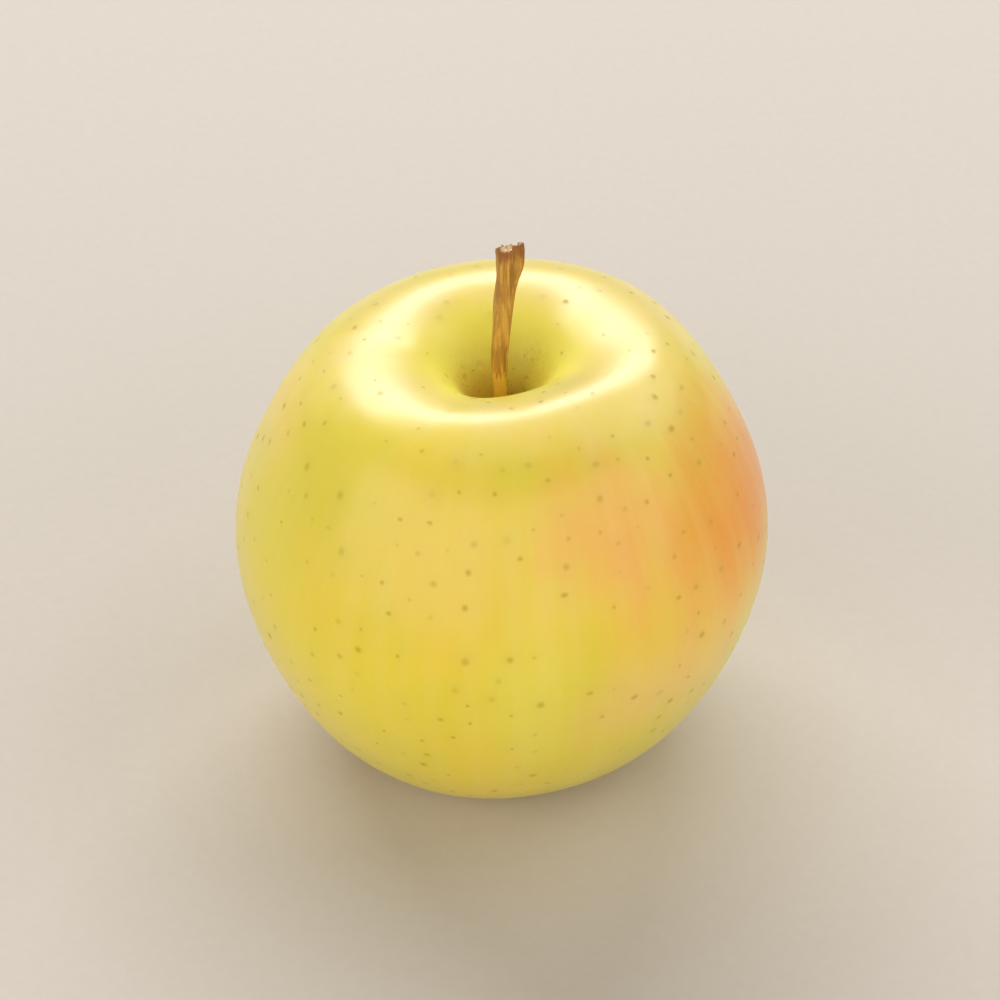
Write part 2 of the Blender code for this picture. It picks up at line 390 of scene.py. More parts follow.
def pore_disc():
    """One pore as a low dome of rings, with the share of pore colour kept on each ring."""
    rings, sides = [0.0, 0.30, 0.55, 0.80, 1.0], 12
    points = [(0.0, 0.0, 0.0)]
    for radius in rings[1:]:
        for side in range(sides):
            angle = math.tau * side / sides
            points.append((radius * math.cos(angle), radius * math.sin(angle), 0.0))
    faces = [(0, 1 + side, 1 + (side + 1) % sides) for side in range(sides)]
    for ring in range(len(rings) - 2):
        for side in range(sides):
            a = 1 + ring * sides + side
            b = 1 + ring * sides + (side + 1) % sides
            faces.append((a, a + sides, b + sides, b))
    mesh = bpy.data.meshes.new("pore")
    mesh.from_pydata(points, [], faces)
    shade = mesh.attributes.new("pore", "FLOAT", "POINT")
    for i, (x, y, _) in enumerate(points):
        shade.data[i].value = 0.5 + 0.5 * math.cos(math.pi * min(math.hypot(x, y), 1.0) ** 1.3)
    disc = bpy.data.objects.new("pore", mesh)
    bpy.context.scene.collection.objects.link(disc)
    return disc


def pore_tree():
    """Scatters discs over the skin and lays every point of them on it, their middles a hair proud."""
    tree, given = new_geometry_tree("scattered pores", [
        ("Spacing", "Float", PORE_SPACING),
        ("Density", "Float", PORE_DENSITY),
        ("Smallest", "Float", PORE_SMALLEST),
        ("Largest", "Float", PORE_LARGEST),
        ("Faintest", "Float", PORE_FAINTEST),
        ("Rise", "Float", PORE_RISE),
        ("Sink", "Float", PORE_SINK),
        ("Seed", "Int", PORE_SEED),
        ("Disc", "Object", None),
        ("Skin", "Material", None),
    ])

    # More pores in some places than in others, and none on the feet
    where = add(tree, "GeometryNodeInputPosition")
    patchy = add(tree, NOISE, {"Vector": where, "Scale": 1 / PORE_PATCHES, "Detail": 1.0})
    patchy = add(tree, RANGE, {"Value": patchy, "From Min": 0.34, "From Max": 0.56, "To Min": 0.25})
    clear = add(tree, MATH, add(tree, SPLIT, where).outputs["Z"], 2.0 * MM, operation="GREATER_THAN")
    patchy = add(tree, MATH, patchy, clear, operation="MULTIPLY")
    scattered = add(tree, "GeometryNodeDistributePointsOnFaces", {
        "Mesh": given["Geometry"], "Distance Min": given["Spacing"], "Density Max": given["Density"],
        "Density Factor": patchy, "Seed": given["Seed"],
    }, distribute_method="POISSON")

    # Many small ones and few large ones, each a little longer or wider, and some fainter
    draw = add(tree, "FunctionNodeRandomValue", {
        "Min_001": 0.0, "Max_001": 1.0, "Seed": given["Seed"],
    }, data_type="FLOAT")
    draw = add(tree, MATH, draw, 1.6, operation="POWER")
    size = add(tree, MIX, {
        "Factor_Float": draw, "A_Float": given["Smallest"], "B_Float": given["Largest"],
    }, data_type="FLOAT")
    second = add(tree, MATH, given["Seed"], 1, operation="ADD")
    stretch = add(tree, "FunctionNodeRandomValue", {
        "Min_001": 0.65, "Max_001": 1.15, "Seed": second,
    }, data_type="FLOAT")
    scale = add(tree, JOIN, size, add(tree, MATH, size, stretch, operation="MULTIPLY"), size)
    disc = add(tree, "GeometryNodeObjectInfo", {"Object": given["Disc"]})
    placed = add(tree, "GeometryNodeInstanceOnPoints", {
        "Points": scattered.outputs["Points"], "Instance": disc.outputs["Geometry"],
        "Rotation": scattered.outputs["Rotation"], "Scale": scale,
    })
    third = add(tree, MATH, given["Seed"], 2, operation="ADD")
    faint = add(tree, "FunctionNodeRandomValue", {
        "Min_001": given["Faintest"], "Max_001": 1.0, "Seed": third,
    }, data_type="FLOAT")
    faint = add(tree, "GeometryNodeStoreNamedAttribute", {
        "Geometry": placed, "Name": "faint", "Value": faint,
    }, data_type="FLOAT", domain="INSTANCE")
    real = add(tree, "GeometryNodeRealizeInstances", {"Geometry": faint})

    # Every point is laid on the skin, then lifted along its normal
    near = add(tree, "GeometryNodeProximity", {"Target": given["Geometry"]}, target_element="FACES")
    normal = add(tree, "GeometryNodeSampleNearestSurface", {
        "Mesh": given["Geometry"], "Value": add(tree, "GeometryNodeInputNormal"),
    }, data_type="FLOAT_VECTOR")
    share = add(tree, "GeometryNodeInputNamedAttribute", {"Name": "pore"}, data_type="FLOAT")
    proud = add(tree, MATH, given["Rise"], given["Sink"], operation="ADD")
    proud = add(tree, MATH, share, proud, operation="MULTIPLY")
    proud = add(tree, MATH, proud, given["Sink"], operation="SUBTRACT")
    lift = add(tree, VECTOR_MATH, {0: normal, "Scale": proud}, operation="SCALE")
    laid = add(tree, "GeometryNodeSetPosition", {"Geometry": real, "Position": near, "Offset": lift})
    faint = add(tree, "GeometryNodeInputNamedAttribute", {"Name": "faint"}, data_type="FLOAT")
    soft = add(tree, MATH, share, share, operation="MULTIPLY")
    shaded = add(tree, "GeometryNodeStoreNamedAttribute", {
        "Geometry": laid, "Name": "pore", "Value": add(tree, MATH, soft, faint, operation="MULTIPLY"),
    }, data_type="FLOAT", domain="POINT")
    smooth = add(tree, "GeometryNodeSetShadeSmooth", {"Geometry": shaded})
    finished = add(tree, "GeometryNodeSetMaterial", {"Geometry": smooth, "Material": given["Skin"]})
    add(tree, "NodeGroupOutput", finished)
    return tree


def make_pores(skin, material):
    bed = bpy.data.objects.new("pore bed", skin.data.copy())
    bpy.context.scene.collection.objects.link(bed)
    disc = pore_disc()
    pores = made_by_nodes("fruit_pores", bed, pore_tree(), {"Disc": disc, "Skin": material})
    bpy.data.objects.remove(disc, do_unlink=True)
    return pores


# The skin's finish

def on_skin(azimuth, level):
    """The point of the turned fruit at this azimuth in degrees and this level in millimetres."""
    flank = OUTLINE[np.argmax(OUTLINE[:, 1]) :]
    radius = np.interp(-level * MM, -flank[:, 1], flank[:, 0])
    turn = math.radians(azimuth)
    return Vector((radius * math.cos(turn), radius * math.sin(turn), level * MM)) + AXIS


# Each patch: azimuth, level in mm, half width and half height in mm, colour, strength
PATCHES = [
    (150, 55, 36, 26, "#e3cf3f", 0.50),
    (62, 40, 30, 30, "#ddcf42", 0.55),
    (-150, 34, 34, 30, "#e8d428", 0.55),
    (-90, 36, 13, 26, "#ecdf56", 0.50),
    (-104, 60, 20, 20, "#efc94f", 0.35),
    (174, 66, 14, 11, "#f5cb5c", 0.45),
    # Pale at 74 mm on the left and on the right of the crest: painted highlights
    (175, 74, 20, 9, "#f8e583", 0.55),
    (12, 74, 20, 9, "#eddc80", 0.50),
    (-60, 34, 24, 15, "#f0c873", 0.60),
    (-34, 55, 42, 30, "#f2b552", 0.80),
    (-68, 65, 20, 17, "#f0a83e", 0.65),
    (-24, 69, 14, 10, "#eda548", 0.55),
    (-50, 73, 8, 6, "#e6cf45", 0.60),
    (-26, 57, 29, 20, "#f09a12", 0.85),
    (-8, 56, 22, 16, "#e68a12", 0.60),
]
PATCH_CORE = 0.15
PATCH_WARP = 5.0 * MM
PATCH_WARP_SIZE = 9.0 * MM
PATCH_STREAKS = 0.7

# The streaks along the meridians: width and length in mm, and a seed
BROAD_STREAKS = (7.0, 70.0, 3.0)
FINE_STREAKS = (3.0, 45.0, 9.0)

# The paler top: partly the skin's own bloom, partly painted light where the top faces the lamps, creamiest on
# the crest as a painted highlight. The levels in mm over which it comes in, its colour and its strength
BLOOM_AND_PAINTED_LIGHT = [(56, 75, "#f0de60", 0.30), (72.0, 77.5, "#efd58a", 0.50)]

# Where the cavity and the basin turn greener, and paler as painted light against their shade, by distance
# from the axis
HOLLOW_FULL = 9.0 * MM
HOLLOW_END = 18.0 * MM

# The russet round the stem, the olive one to the right of it partly painted shade in the cavity: how far it
# reaches and how far to the right it sits, in mm, colour, strength.
# How far back and how high it sits, in mm. Then the size of its ragged grain, and of the specks in it
RUSSET_AND_PAINTED_SHADE = [(12.0, 2.5, "#bda538", 0.80), (8.0, -3.5, "#d8a840", 0.60)]
RUSSET_BACK = 0.2
RUSSET_LEVEL = 61.5
RUSSET_GRAIN = 3.2 * MM
RUSSET_RAGGED = 7.0 * MM
SPECK_SIZE = 1.1 * MM
SPECKS_FULL = 5.0 * MM
SPECKS_END = 10.0 * MM
SPECKS_ABOVE = 30.0 * MM

# The glow under the skin, how dark the cork of a pore is, and how much of the gloss it and a hollow lose
SKIN_SCATTER = 0.45
SCATTER_DEPTH = 5.0 * MM
PORE_CORK = 0.58
PORE_MATT = 0.9
HOLLOW_MATT = 0.85


def streaks_of(tree, place, width, length, seed):
    """Noise drawn out along the fruit's meridians, width and length in millimetres."""
    spot = add(tree, SPLIT, place)
    around = add(tree, JOIN, spot.outputs["X"], spot.outputs["Y"])
    around = add(tree, VECTOR_MATH, around, operation="NORMALIZE")
    around = add(tree, VECTOR_MATH, {
        0: around, "Scale": WIDTH / 2 / (width * MM),
    }, operation="SCALE")
    along = add(tree, MATH, spot.outputs["Z"], 1 / (length * MM), seed, operation="MULTIPLY_ADD")
    along = add(tree, JOIN, {"Z": along})
    drawn = add(tree, VECTOR_MATH, around, along, operation="ADD")
    return add(tree, NOISE, {"Vector": drawn, "Scale": 1.0, "Detail": 3.0, "Roughness": 0.6})


def waxy_skin(name, scatter):
    """Ripe yellow skin, rubbed to a soft wax gloss: broad highlights, a blush in soft patches that fade
    along the meridians, a paler top and crest partly painted as light and highlight, a greener and russet
    stem cavity painted paler against its shade with partly painted olive shade by the stem, and corky pores
    where the attribute says. The share of light that scatters under the skin gives it its glow, and thin
    discs have none to scatter in."""
    material, tree = new_material(name)
    place = add(tree, "ShaderNodeTexCoord").outputs["Object"]
    place = add(tree, VECTOR_MATH, place, -AXIS, operation="ADD")
    spot = add(tree, SPLIT, place)
    radius = add(tree, JOIN, spot.outputs["X"], spot.outputs["Y"])
    radius = add(tree, VECTOR_MATH, radius, operation="LENGTH")

    # Two yellows in soft clouds
    cloud = add(tree, NOISE, {"Vector": place, "Scale": 1 / (24 * MM), "Detail": 2.0})
    cloud = add(tree, RANGE, {
        "Value": cloud, "From Min": 0.35, "From Max": 0.65,
    }, interpolation_type="SMOOTHSTEP")
    colour = add(tree, MIX, {
        "Factor_Float": cloud, "A_Color": linear("#e8cf30"), "B_Color": linear("#e0d032"),
    }, data_type="RGBA")

    # The blush and the other patches, two of them painted highlights on the crest, with edges that waver and
    # run along the meridians
    warp = add(tree, NOISE, {
        "Vector": place, "Scale": 1 / PATCH_WARP_SIZE, "Detail": 3.0, "Roughness": 0.6,
    })
    warp = add(tree, VECTOR_MATH, warp.outputs["Color"], (-0.5, -0.5, -0.5), operation="ADD")
    warp = add(tree, VECTOR_MATH, {0: warp, "Scale": 2 * PATCH_WARP}, operation="SCALE")
    bent = add(tree, VECTOR_MATH, place, warp, operation="ADD")
    broad = streaks_of(tree, place, *BROAD_STREAKS)
    broad = add(tree, MATH, broad, 0.5, operation="SUBTRACT")
    for azimuth, level, half_width, half_height, shade, strength in PATCHES:
        spread = (half_width * MM, half_width * MM, half_height * MM)
        away = add(tree, VECTOR_MATH, bent, on_skin(azimuth, level) - AXIS, operation="SUBTRACT")
        away = add(tree, VECTOR_MATH, away, spread, operation="DIVIDE")
        away = add(tree, VECTOR_MATH, away, operation="LENGTH")
        away = add(tree, MATH, broad, PATCH_STREAKS, away, operation="MULTIPLY_ADD")
        cover = add(tree, RANGE, {
            "Value": away, "From Min": PATCH_CORE, "To Min": strength, "To Max": 0.0,
        }, interpolation_type="SMOOTHSTEP")
        colour = add(tree, MIX, {
            "Factor_Float": cover, "A_Color": colour, "B_Color": linear(shade),
        }, data_type="RGBA")

    # Paler shoulder and crest: partly bloom, partly painted light, with a painted cream highlight on the
    # crest
    for start, full, shade, strength in BLOOM_AND_PAINTED_LIGHT:
        cover = add(tree, RANGE, {
            "Value": add(tree, SPLIT, bent).outputs["Z"], "From Min": start * MM, "From Max": full * MM,
            "To Max": strength,
        }, interpolation_type="SMOOTHSTEP")
        colour = add(tree, MIX, {
            "Factor_Float": cover, "A_Color": colour, "B_Color": linear(shade),
        }, data_type="RGBA")

    # Fine paler streaks
    fine = streaks_of(tree, place, *FINE_STREAKS)
    fine = add(tree, RANGE, {"Value": fine, "From Min": 0.42, "From Max": 0.72, "To Max": 0.15})
    colour = add(tree, MIX, {
        "Factor_Float": fine, "A_Color": colour, "B_Color": linear("#f3df86"),
    }, data_type="RGBA")

    # Greener inside the stem cavity and the basin, and paler there as painted light against the hollows'
    # shade, with ragged russet round the stem whose olive part right of the stem is partly painted shade
    inside = add(tree, RANGE, {
        "Value": radius, "From Min": HOLLOW_FULL, "From Max": HOLLOW_END, "To Min": 1.0, "To Max": 0.0,
    }, interpolation_type="SMOOTHSTEP")
    colour = add(tree, MIX, {
        "Factor_Float": add(tree, MATH, inside, 0.8, operation="MULTIPLY"),
        "A_Color": colour, "B_Color": linear("#ede360"),
    }, data_type="RGBA")
    ragged = add(tree, NOISE, {
        "Vector": place, "Scale": 1 / RUSSET_GRAIN, "Detail": 4.0, "Roughness": 0.65,
    })
    for reach, shift, shade, strength in RUSSET_AND_PAINTED_SHADE:
        middle = Vector((shift, RUSSET_BACK, RUSSET_LEVEL)) * MM
        russet_and_shade = add(tree, VECTOR_MATH, place, middle, operation="SUBTRACT")
        russet_and_shade = add(tree, VECTOR_MATH, russet_and_shade, operation="LENGTH")
        russet_and_shade = add(tree, MATH, ragged, -RUSSET_RAGGED, russet_and_shade, operation="MULTIPLY_ADD")
        russet_and_shade = add(tree, RANGE, {
            "Value": russet_and_shade, "From Min": -1.5 * MM, "From Max": reach * MM,
            "To Min": strength, "To Max": 0.0,
        }, interpolation_type="SMOOTHSTEP")
        colour = add(tree, MIX, {
            "Factor_Float": russet_and_shade, "A_Color": colour, "B_Color": linear(shade),
        }, data_type="RGBA")

    # Fine russet specks deep in the cavity
    specks = add(tree, NOISE, {
        "Vector": place, "Scale": 1 / SPECK_SIZE, "Detail": 2.0, "Roughness": 0.6,
    })
    specks = add(tree, RANGE, {
        "Value": specks, "From Min": 0.60, "From Max": 0.70, "To Max": 0.55,
    }, interpolation_type="SMOOTHSTEP")
    deep = add(tree, RANGE, {
        "Value": radius, "From Min": SPECKS_FULL, "From Max": SPECKS_END, "To Min": 1.0, "To Max": 0.0,
    }, interpolation_type="SMOOTHSTEP")
    above = add(tree, MATH, spot.outputs["Z"], SPECKS_ABOVE, operation="GREATER_THAN")
    specks = add(tree, MATH, specks, deep, operation="MULTIPLY")
    specks = add(tree, MATH, specks, above, operation="MULTIPLY")
    colour = add(tree, MIX, {
        "Factor_Float": specks, "A_Color": colour, "B_Color": linear("#8f7a22"),
    }, data_type="RGBA")

    # Pores of dull brown cork
    pore = add(tree, "ShaderNodeAttribute", attribute_name="pore").outputs["Fac"]
    cork = add(tree, MATH, pore, PORE_CORK, operation="MULTIPLY")
    colour = add(tree, MIX, {
        "Factor_Float": cork, "A_Color": colour, "B_Color": linear("#a87e08"),
    }, data_type="RGBA")

    # The wax is rubbed unevenly. It is thin in the hollows and nearly gone on cork
    smear = add(tree, NOISE, {"Vector": place, "Scale": 1 / (7 * MM), "Detail": 3.0})
    rough = add(tree, RANGE, {
        "Value": smear, "From Min": 0.3, "From Max": 0.7, "To Min": 0.42, "To Max": 0.50,
    })
    rough = add(tree, MATH, pore, 0.10, rough, operation="MULTIPLY_ADD")
    rough = add(tree, MATH, russet_and_shade, 0.2, rough, operation="MULTIPLY_ADD")
    wax = add(tree, MATH, inside, -HOLLOW_MATT, 1.0, operation="MULTIPLY_ADD")
    wax = add(tree, MATH, pore, -PORE_MATT, wax, operation="MULTIPLY_ADD", use_clamp=True)

    # Fine grain over slow ripples. The real grain is finer than 0.9 mm, drawn coarser so that it shows
    grain = add(tree, NOISE, {"Vector": place, "Scale": 1 / (0.9 * MM), "Detail": 2.0})
    grain = add(tree, "ShaderNodeBump", {"Strength": 0.35, "Distance": 0.02 * MM, "Height": grain})
    ripple = add(tree, NOISE, {"Vector": place, "Scale": 1 / (4.5 * MM), "Detail": 1.0})
    relief = add(tree, "ShaderNodeBump", {
        "Strength": 0.6, "Distance": 0.12 * MM, "Height": ripple, "Normal": grain,
    })
    shader = add(tree, "ShaderNodeBsdfPrincipled", {
        "Base Color": colour, "Roughness": rough, "Normal": relief, "IOR": 1.45,
        "Subsurface Weight": scatter, "Subsurface Radius": (1.0, 0.60, 0.14),
        "Subsurface Scale": SCATTER_DEPTH, "Specular IOR Level": 0.25,
        "Coat Weight": wax, "Coat Roughness": 0.30, "Coat IOR": 1.5,
    })
    add(tree, "ShaderNodeOutputMaterial", shader)
    return material


# The stem

STEM_STEPS = 120
STEM_ROWS = 220
STEM_BITE = 0.9 * MM

# The bark: where it ends, how far it waves there and how high it stands, then the height of its ridges as a
# share of the radius, and of its fibres
BARK_END = 71.3 * MM
BARK_WAVER = 0.5 * MM
BARK_STEP = 0.096 * MM
BARK_RIDGE = 0.045
BARK_FIBRE = 0.028 * MM

# The broken rim: how deep it is torn, coarse and fine, how far down that reaches, and each notch or tooth as
# its angle, its spread and its rise. Torn fibre ends fill the cup
TORN_COARSE = 0.30 * MM
TORN_FINE = 0.16 * MM
TORN_REACH = 1.3 * MM
RIM_NOTCHES = [(4.25, 0.45, -0.9 * MM), (5.4, 0.5, 0.35 * MM)]
FIBRE_END = 0.22 * MM


def ring_mesh(name, rings):
    """Joins rings of the same number of points into one closed skin with a pole at each end."""
    count = len(rings[0])
    points = np.concatenate([[rings[0].mean(axis=0)], *rings, [rings[-1].mean(axis=0)]])
    faces = [(0, 1 + i, 1 + (i + 1) % count) for i in range(count)]
    for ring in range(len(rings) - 1):
        for i in range(count):
            a = 1 + ring * count + i
            b = 1 + ring * count + (i + 1) % count
            faces.append((a, a + count, b + count, b))
    end = len(points) - 1
    faces += [(end, end - count + (i + 1) % count, end - count + i) for i in range(count)]
    mesh = bpy.data.meshes.new(name)
    mesh.from_pydata([tuple(p) for p in points], [], faces)
    mesh.update()
    mesh.shade_smooth()
    return mesh


def waves(angle, along, count, seed, lowest, highest, twist):
    """Uneven lengthwise ridges: a seeded sum of waves round the stem that drift slowly along it."""
    rng = np.random.default_rng(seed)
    total = np.zeros_like(angle + along)
    for _ in range(count):
        turns = rng.integers(lowest, highest + 1)
        phase = rng.uniform(0, math.tau)
        drift = rng.uniform(-twist, twist)
        bend = rng.uniform(0, math.tau)
        total += np.cos(turns * angle + phase + drift * along + 0.6 * np.sin(5 * along + bend))
    return total / math.sqrt(count)


def make_stem(material):
    """The stem from its broken top down: cup, rim, flare, ridged bark, bare foot, and the end in the skin."""
    length = STEM_TOP - STEM_FOOT
    stations = [
        (0.04 * STEM_FLARE, length - STEM_SOCKET),
        (0.45 * STEM_FLARE, length - 0.8 * STEM_SOCKET),
        (0.80 * STEM_FLARE, length - 0.15 * STEM_SOCKET),
        (0.96 * STEM_FLARE, length - 0.08 * STEM_SOCKET),
        (0.99 * STEM_FLARE, length - 1.4 * MM),
        (0.95 * STEM_FLARE, length - 3.6 * MM),
        (0.79 * STEM_FLARE, length - 5.8 * MM),
        (1.18 * STEM_RADIUS, 0.69 * length),
        (1.02 * STEM_RADIUS, 0.49 * length),
        (STEM_RADIUS, 0.35 * length),
        (0.84 * STEM_RADIUS, 0.24 * length),
        (0.84 * STEM_RADIUS, 0.07 * length),
        (1.05 * STEM_RADIUS, -STEM_BITE),
    ]
    outline = smooth_curve(stations, STEM_ROWS)
    rim = np.argmax(outline[:, 1])
    angle = np.arange(STEM_STEPS) / STEM_STEPS * math.tau
    radius = np.repeat(outline[:, :1], STEM_STEPS, axis=1)
    height = np.repeat(outline[:, 1:], STEM_STEPS, axis=1)
    turn = np.repeat(angle[None], STEM_ROWS, axis=0)
    along = height / length

    coarse = waves(turn, along, 5, 4, 3, 6, 1.5)
    fibres = waves(turn, along, 16, 8, 11, 34, 3.0)
    bark = height + STEM_FOOT - BARK_END - BARK_WAVER * np.cos(turn - 2.9)
    bark = np.clip(bark / BARK_WAVER, 0.0, 1.0)
    outside = (np.arange(STEM_ROWS) >= rim)[:, None]
    relief = BARK_RIDGE * radius * coarse + BARK_FIBRE * fibres * bark + BARK_STEP * (bark - 1.0)
    radius = radius + np.where(outside, relief, relief * radius / STEM_FLARE)

    torn = TORN_COARSE * waves(angle, 0.0, 6, 15, 2, 9, 0.0)
    torn = torn + TORN_FINE * waves(angle, 0.0, 8, 16, 12, 40, 0.0)
    for middle, spread, rise in RIM_NOTCHES:
        torn = torn + rise * np.exp(-(((angle - middle) / spread) ** 2))
    near_rim = np.exp(-(((height - length) / TORN_REACH) ** 2))
    near_rim = near_rim * np.clip(radius / (0.8 * STEM_FLARE), 0, 1) ** 3
    height = height + near_rim * torn[None]
    fibre_ends = FIBRE_END * waves(turn, radius / STEM_FLARE * 6, 10, 23, 3, 19, 4.0)
    height = height + np.where(outside, 0.0, fibre_ends * np.clip(radius / STEM_FLARE, 0, 1))

    x = radius * np.cos(turn)
    y = radius * np.sin(turn)
    slant = STEM_SLANT * x - STEM_TILT * y - TILT_DROP
    slant = slant * np.clip(height / length, 0.0, 1.0) ** SLANT_FADE
    route = smooth_curve(STEM_ROUTE, CURVE_POINTS)
    x = x + np.interp(height + STEM_FOOT, route[:, 2], route[:, 0]) + AXIS.x
    y = y + np.interp(height + STEM_FOOT, route[:, 2], route[:, 1]) + AXIS.y
    z = np.minimum(height + slant + STEM_FOOT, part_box("stem")[1].z)
    rings = list(np.stack([x, y, z], axis=2))
    mesh = ring_mesh("stem_bark", rings)
    cut = mesh.attributes.new("cut", "FLOAT", "POINT")
    inside = np.clip((rim - np.arange(STEM_ROWS)) / 5.0, 0.0, 1.0)
    cut.data.foreach_set("value", np.concatenate([[1.0], np.repeat(inside, STEM_STEPS), [0.0]]))
    mesh.materials.append(material)
    stem = bpy.data.objects.new("stem_bark", mesh)
    bpy.context.scene.collection.objects.link(stem)
    return stem


def stem_bark():
    """Dry woody bark: matt brown with ochre fibres, darker and redder at the flared end, golden where the
    bark stops near the fruit, and pale torn fibres in the broken cup."""
    material, tree = new_material("dry stem bark")
    place = add(tree, "ShaderNodeTexCoord").outputs["Object"]
    spot = add(tree, SPLIT, place)
    level = spot.outputs["Z"]

    # The real fibres are finer than 0.55 mm, drawn coarser so that they show
    drawn = add(tree, VECTOR_MATH, {
        0: place, 1: (1 / (0.55 * MM), 1 / (0.55 * MM), 1 / (7.0 * MM)),
    }, operation="MULTIPLY")
    fibre = add(tree, NOISE, {"Vector": drawn, "Scale": 1.0, "Detail": 4.0, "Roughness": 0.65})
    fibre = add(tree, RANGE, {
        "Value": fibre, "From Min": 0.35, "From Max": 0.65,
    }, interpolation_type="SMOOTHSTEP")
    colour = add(tree, MIX, {
        "Factor_Float": fibre, "A_Color": linear("#aa7a25"), "B_Color": linear("#d0a240"),
    }, data_type="RGBA")

    # Brown blotches and dark lengthwise grooves
    blotch = add(tree, NOISE, {"Vector": place, "Scale": 1 / (2.4 * MM), "Detail": 3.0})
    blotch = add(tree, RANGE, {
        "Value": blotch, "From Min": 0.48, "From Max": 0.68, "To Max": 0.45,
    })
    colour = add(tree, MIX, {
        "Factor_Float": blotch, "A_Color": colour, "B_Color": linear("#9c6420"),
    }, data_type="RGBA")
    groove = add(tree, VECTOR_MATH, {
        0: place, 1: (1 / (1.1 * MM), 1 / (1.1 * MM), 1 / (9.0 * MM)),
    }, operation="MULTIPLY")
    groove = add(tree, NOISE, {"Vector": groove, "Scale": 1.0, "Detail": 3.0, "Distortion": 0.4})
    groove = add(tree, RANGE, {
        "Value": groove, "From Min": 0.53, "From Max": 0.62, "To Max": 0.65,
    }, interpolation_type="SMOOTHSTEP")
    colour = add(tree, MIX, {
        "Factor_Float": groove, "A_Color": colour, "B_Color": linear("#86581b"),
    }, data_type="RGBA")

    # Greyer on the left of the upper stem
    dull = add(tree, RANGE, {
        "Value": spot.outputs["X"], "From Min": -2.0 * MM, "From Max": 0.6 * MM,
        "To Min": 0.6, "To Max": 0.0,
    }, interpolation_type="SMOOTHSTEP")
    high = add(tree, RANGE, {
        "Value": level, "From Min": 78 * MM, "From Max": 89 * MM,
    }, interpolation_type="SMOOTHSTEP")
    colour = add(tree, MIX, {
        "Factor_Float": add(tree, MATH, dull, high, operation="MULTIPLY"),
        "A_Color": colour, "B_Color": linear("#94784a"),
    }, data_type="RGBA")

    # Redder at the flared end, and golden where the bark stops
    tip = add(tree, MATH, fibre, -1.2 * MM, level, operation="MULTIPLY_ADD")
    tip = add(tree, RANGE, {
        "Value": tip, "From Min": 90.2 * MM, "From Max": 92.6 * MM, "To Max": 0.75,
    }, interpolation_type="SMOOTHSTEP")
    colour = add(tree, MIX, {
        "Factor_Float": tip, "A_Color": colour, "B_Color": linear("#86481f"),
    }, data_type="RGBA")
    foot = add(tree, MATH, fibre, -1.5 * MM, level, operation="MULTIPLY_ADD")
    foot = add(tree, RANGE, {
        "Value": foot, "From Min": 69.8 * MM, "From Max": 71.2 * MM, "To Min": 0.75, "To Max": 0.0,
    }, interpolation_type="SMOOTHSTEP")
    colour = add(tree, MIX, {
        "Factor_Float": foot, "A_Color": colour, "B_Color": linear("#e2b445"),
    }, data_type="RGBA")

    # Pale torn fibres in the cup
    cut = add(tree, "ShaderNodeAttribute", attribute_name="cut").outputs["Fac"]
    torn = add(tree, MIX, {
        "Factor_Float": fibre, "A_Color": linear("#c89a63"), "B_Color": linear("#f0d9ae"),
    }, data_type="RGBA")
    colour = add(tree, MIX, {
        "Factor_Float": cut, "A_Color": colour, "B_Color": torn,
    }, data_type="RGBA")
    rough = add(tree, RANGE, {"Value": fibre, "To Min": 0.62, "To Max": 0.8})
    relief = add(tree, "ShaderNodeBump", {"Strength": 0.6, "Distance": 0.05 * MM, "Height": fibre})
    shader = add(tree, "ShaderNodeBsdfPrincipled", {
        "Base Color": colour, "Roughness": rough, "Normal": relief,
    })
    add(tree, "ShaderNodeOutputMaterial", shader)
    return material


# The calyx

CALYX_TOP = BASIN_DEPTH - REST_CUT + 0.15 * MM
CALYX_SEED = 5
SEPALS = 5
SEPAL_TURN = -0.16
SEPAL_ROOT = 1.7 * MM
SEPAL_HALF_WIDTH = 1.65 * MM
SEPAL_THICKNESS = 0.22 * MM
SEPAL_LOWEST = 1.2 * MM
STAMENS = 11
STAMEN_RADIUS = 0.13 * MM

# How far a sepal reaches from the axis and how much its tip curls up, from least to most, in mm
SEPAL_REACH = (4.7, 5.5)
SEPAL_CURL = (0.0, 0.5)


def sepal_rings(turn, reach, curl, rng):
    """Closed flat rings from root to tip of one dried sepal that bends out of the basin and curls."""
    spine = smooth_curve([
        (0.6 * SEPAL_ROOT, CALYX_TOP),
        (SEPAL_ROOT, CALYX_TOP - 1.1 * MM),
        (0.50 * reach, CALYX_TOP - 2.7 * MM),
        (0.80 * reach, CALYX_TOP - 4.7 * MM + curl),
        (reach, CALYX_TOP - 5.7 * MM + 2.2 * curl),
    ], 26)
    share = np.linspace(0.0, 1.0, len(spine))
    width = SEPAL_HALF_WIDTH * (1.04 - share) ** 0.75 * (1.0 + 0.7 * share)
    around = np.arange(24) / 24 * math.tau
    ripple = rng.uniform(0, math.tau)
    rings = []
    for (radius, level), half, s in zip(spine, width, share):
        across = half * np.cos(around)
        cup = 0.30 * (across / SEPAL_HALF_WIDTH) ** 2 * MM * (1.5 - s)
        wave = 0.12 * MM * s * np.sin(5 * s + ripple + 900 * across)
        thick = SEPAL_THICKNESS / 2 * np.sin(around) * (1.15 - s)
        out = radius + thick * 0.8 - cup + wave
        x = out * math.cos(turn) - across * math.sin(turn)
        y = out * math.sin(turn) + across * math.cos(turn)
        z = level + thick * 0.6 + 0.3 * cup
        rings.append(np.stack([x + AXIS.x, y + AXIS.y, np.maximum(z, SEPAL_LOWEST)], axis=1))
    return rings


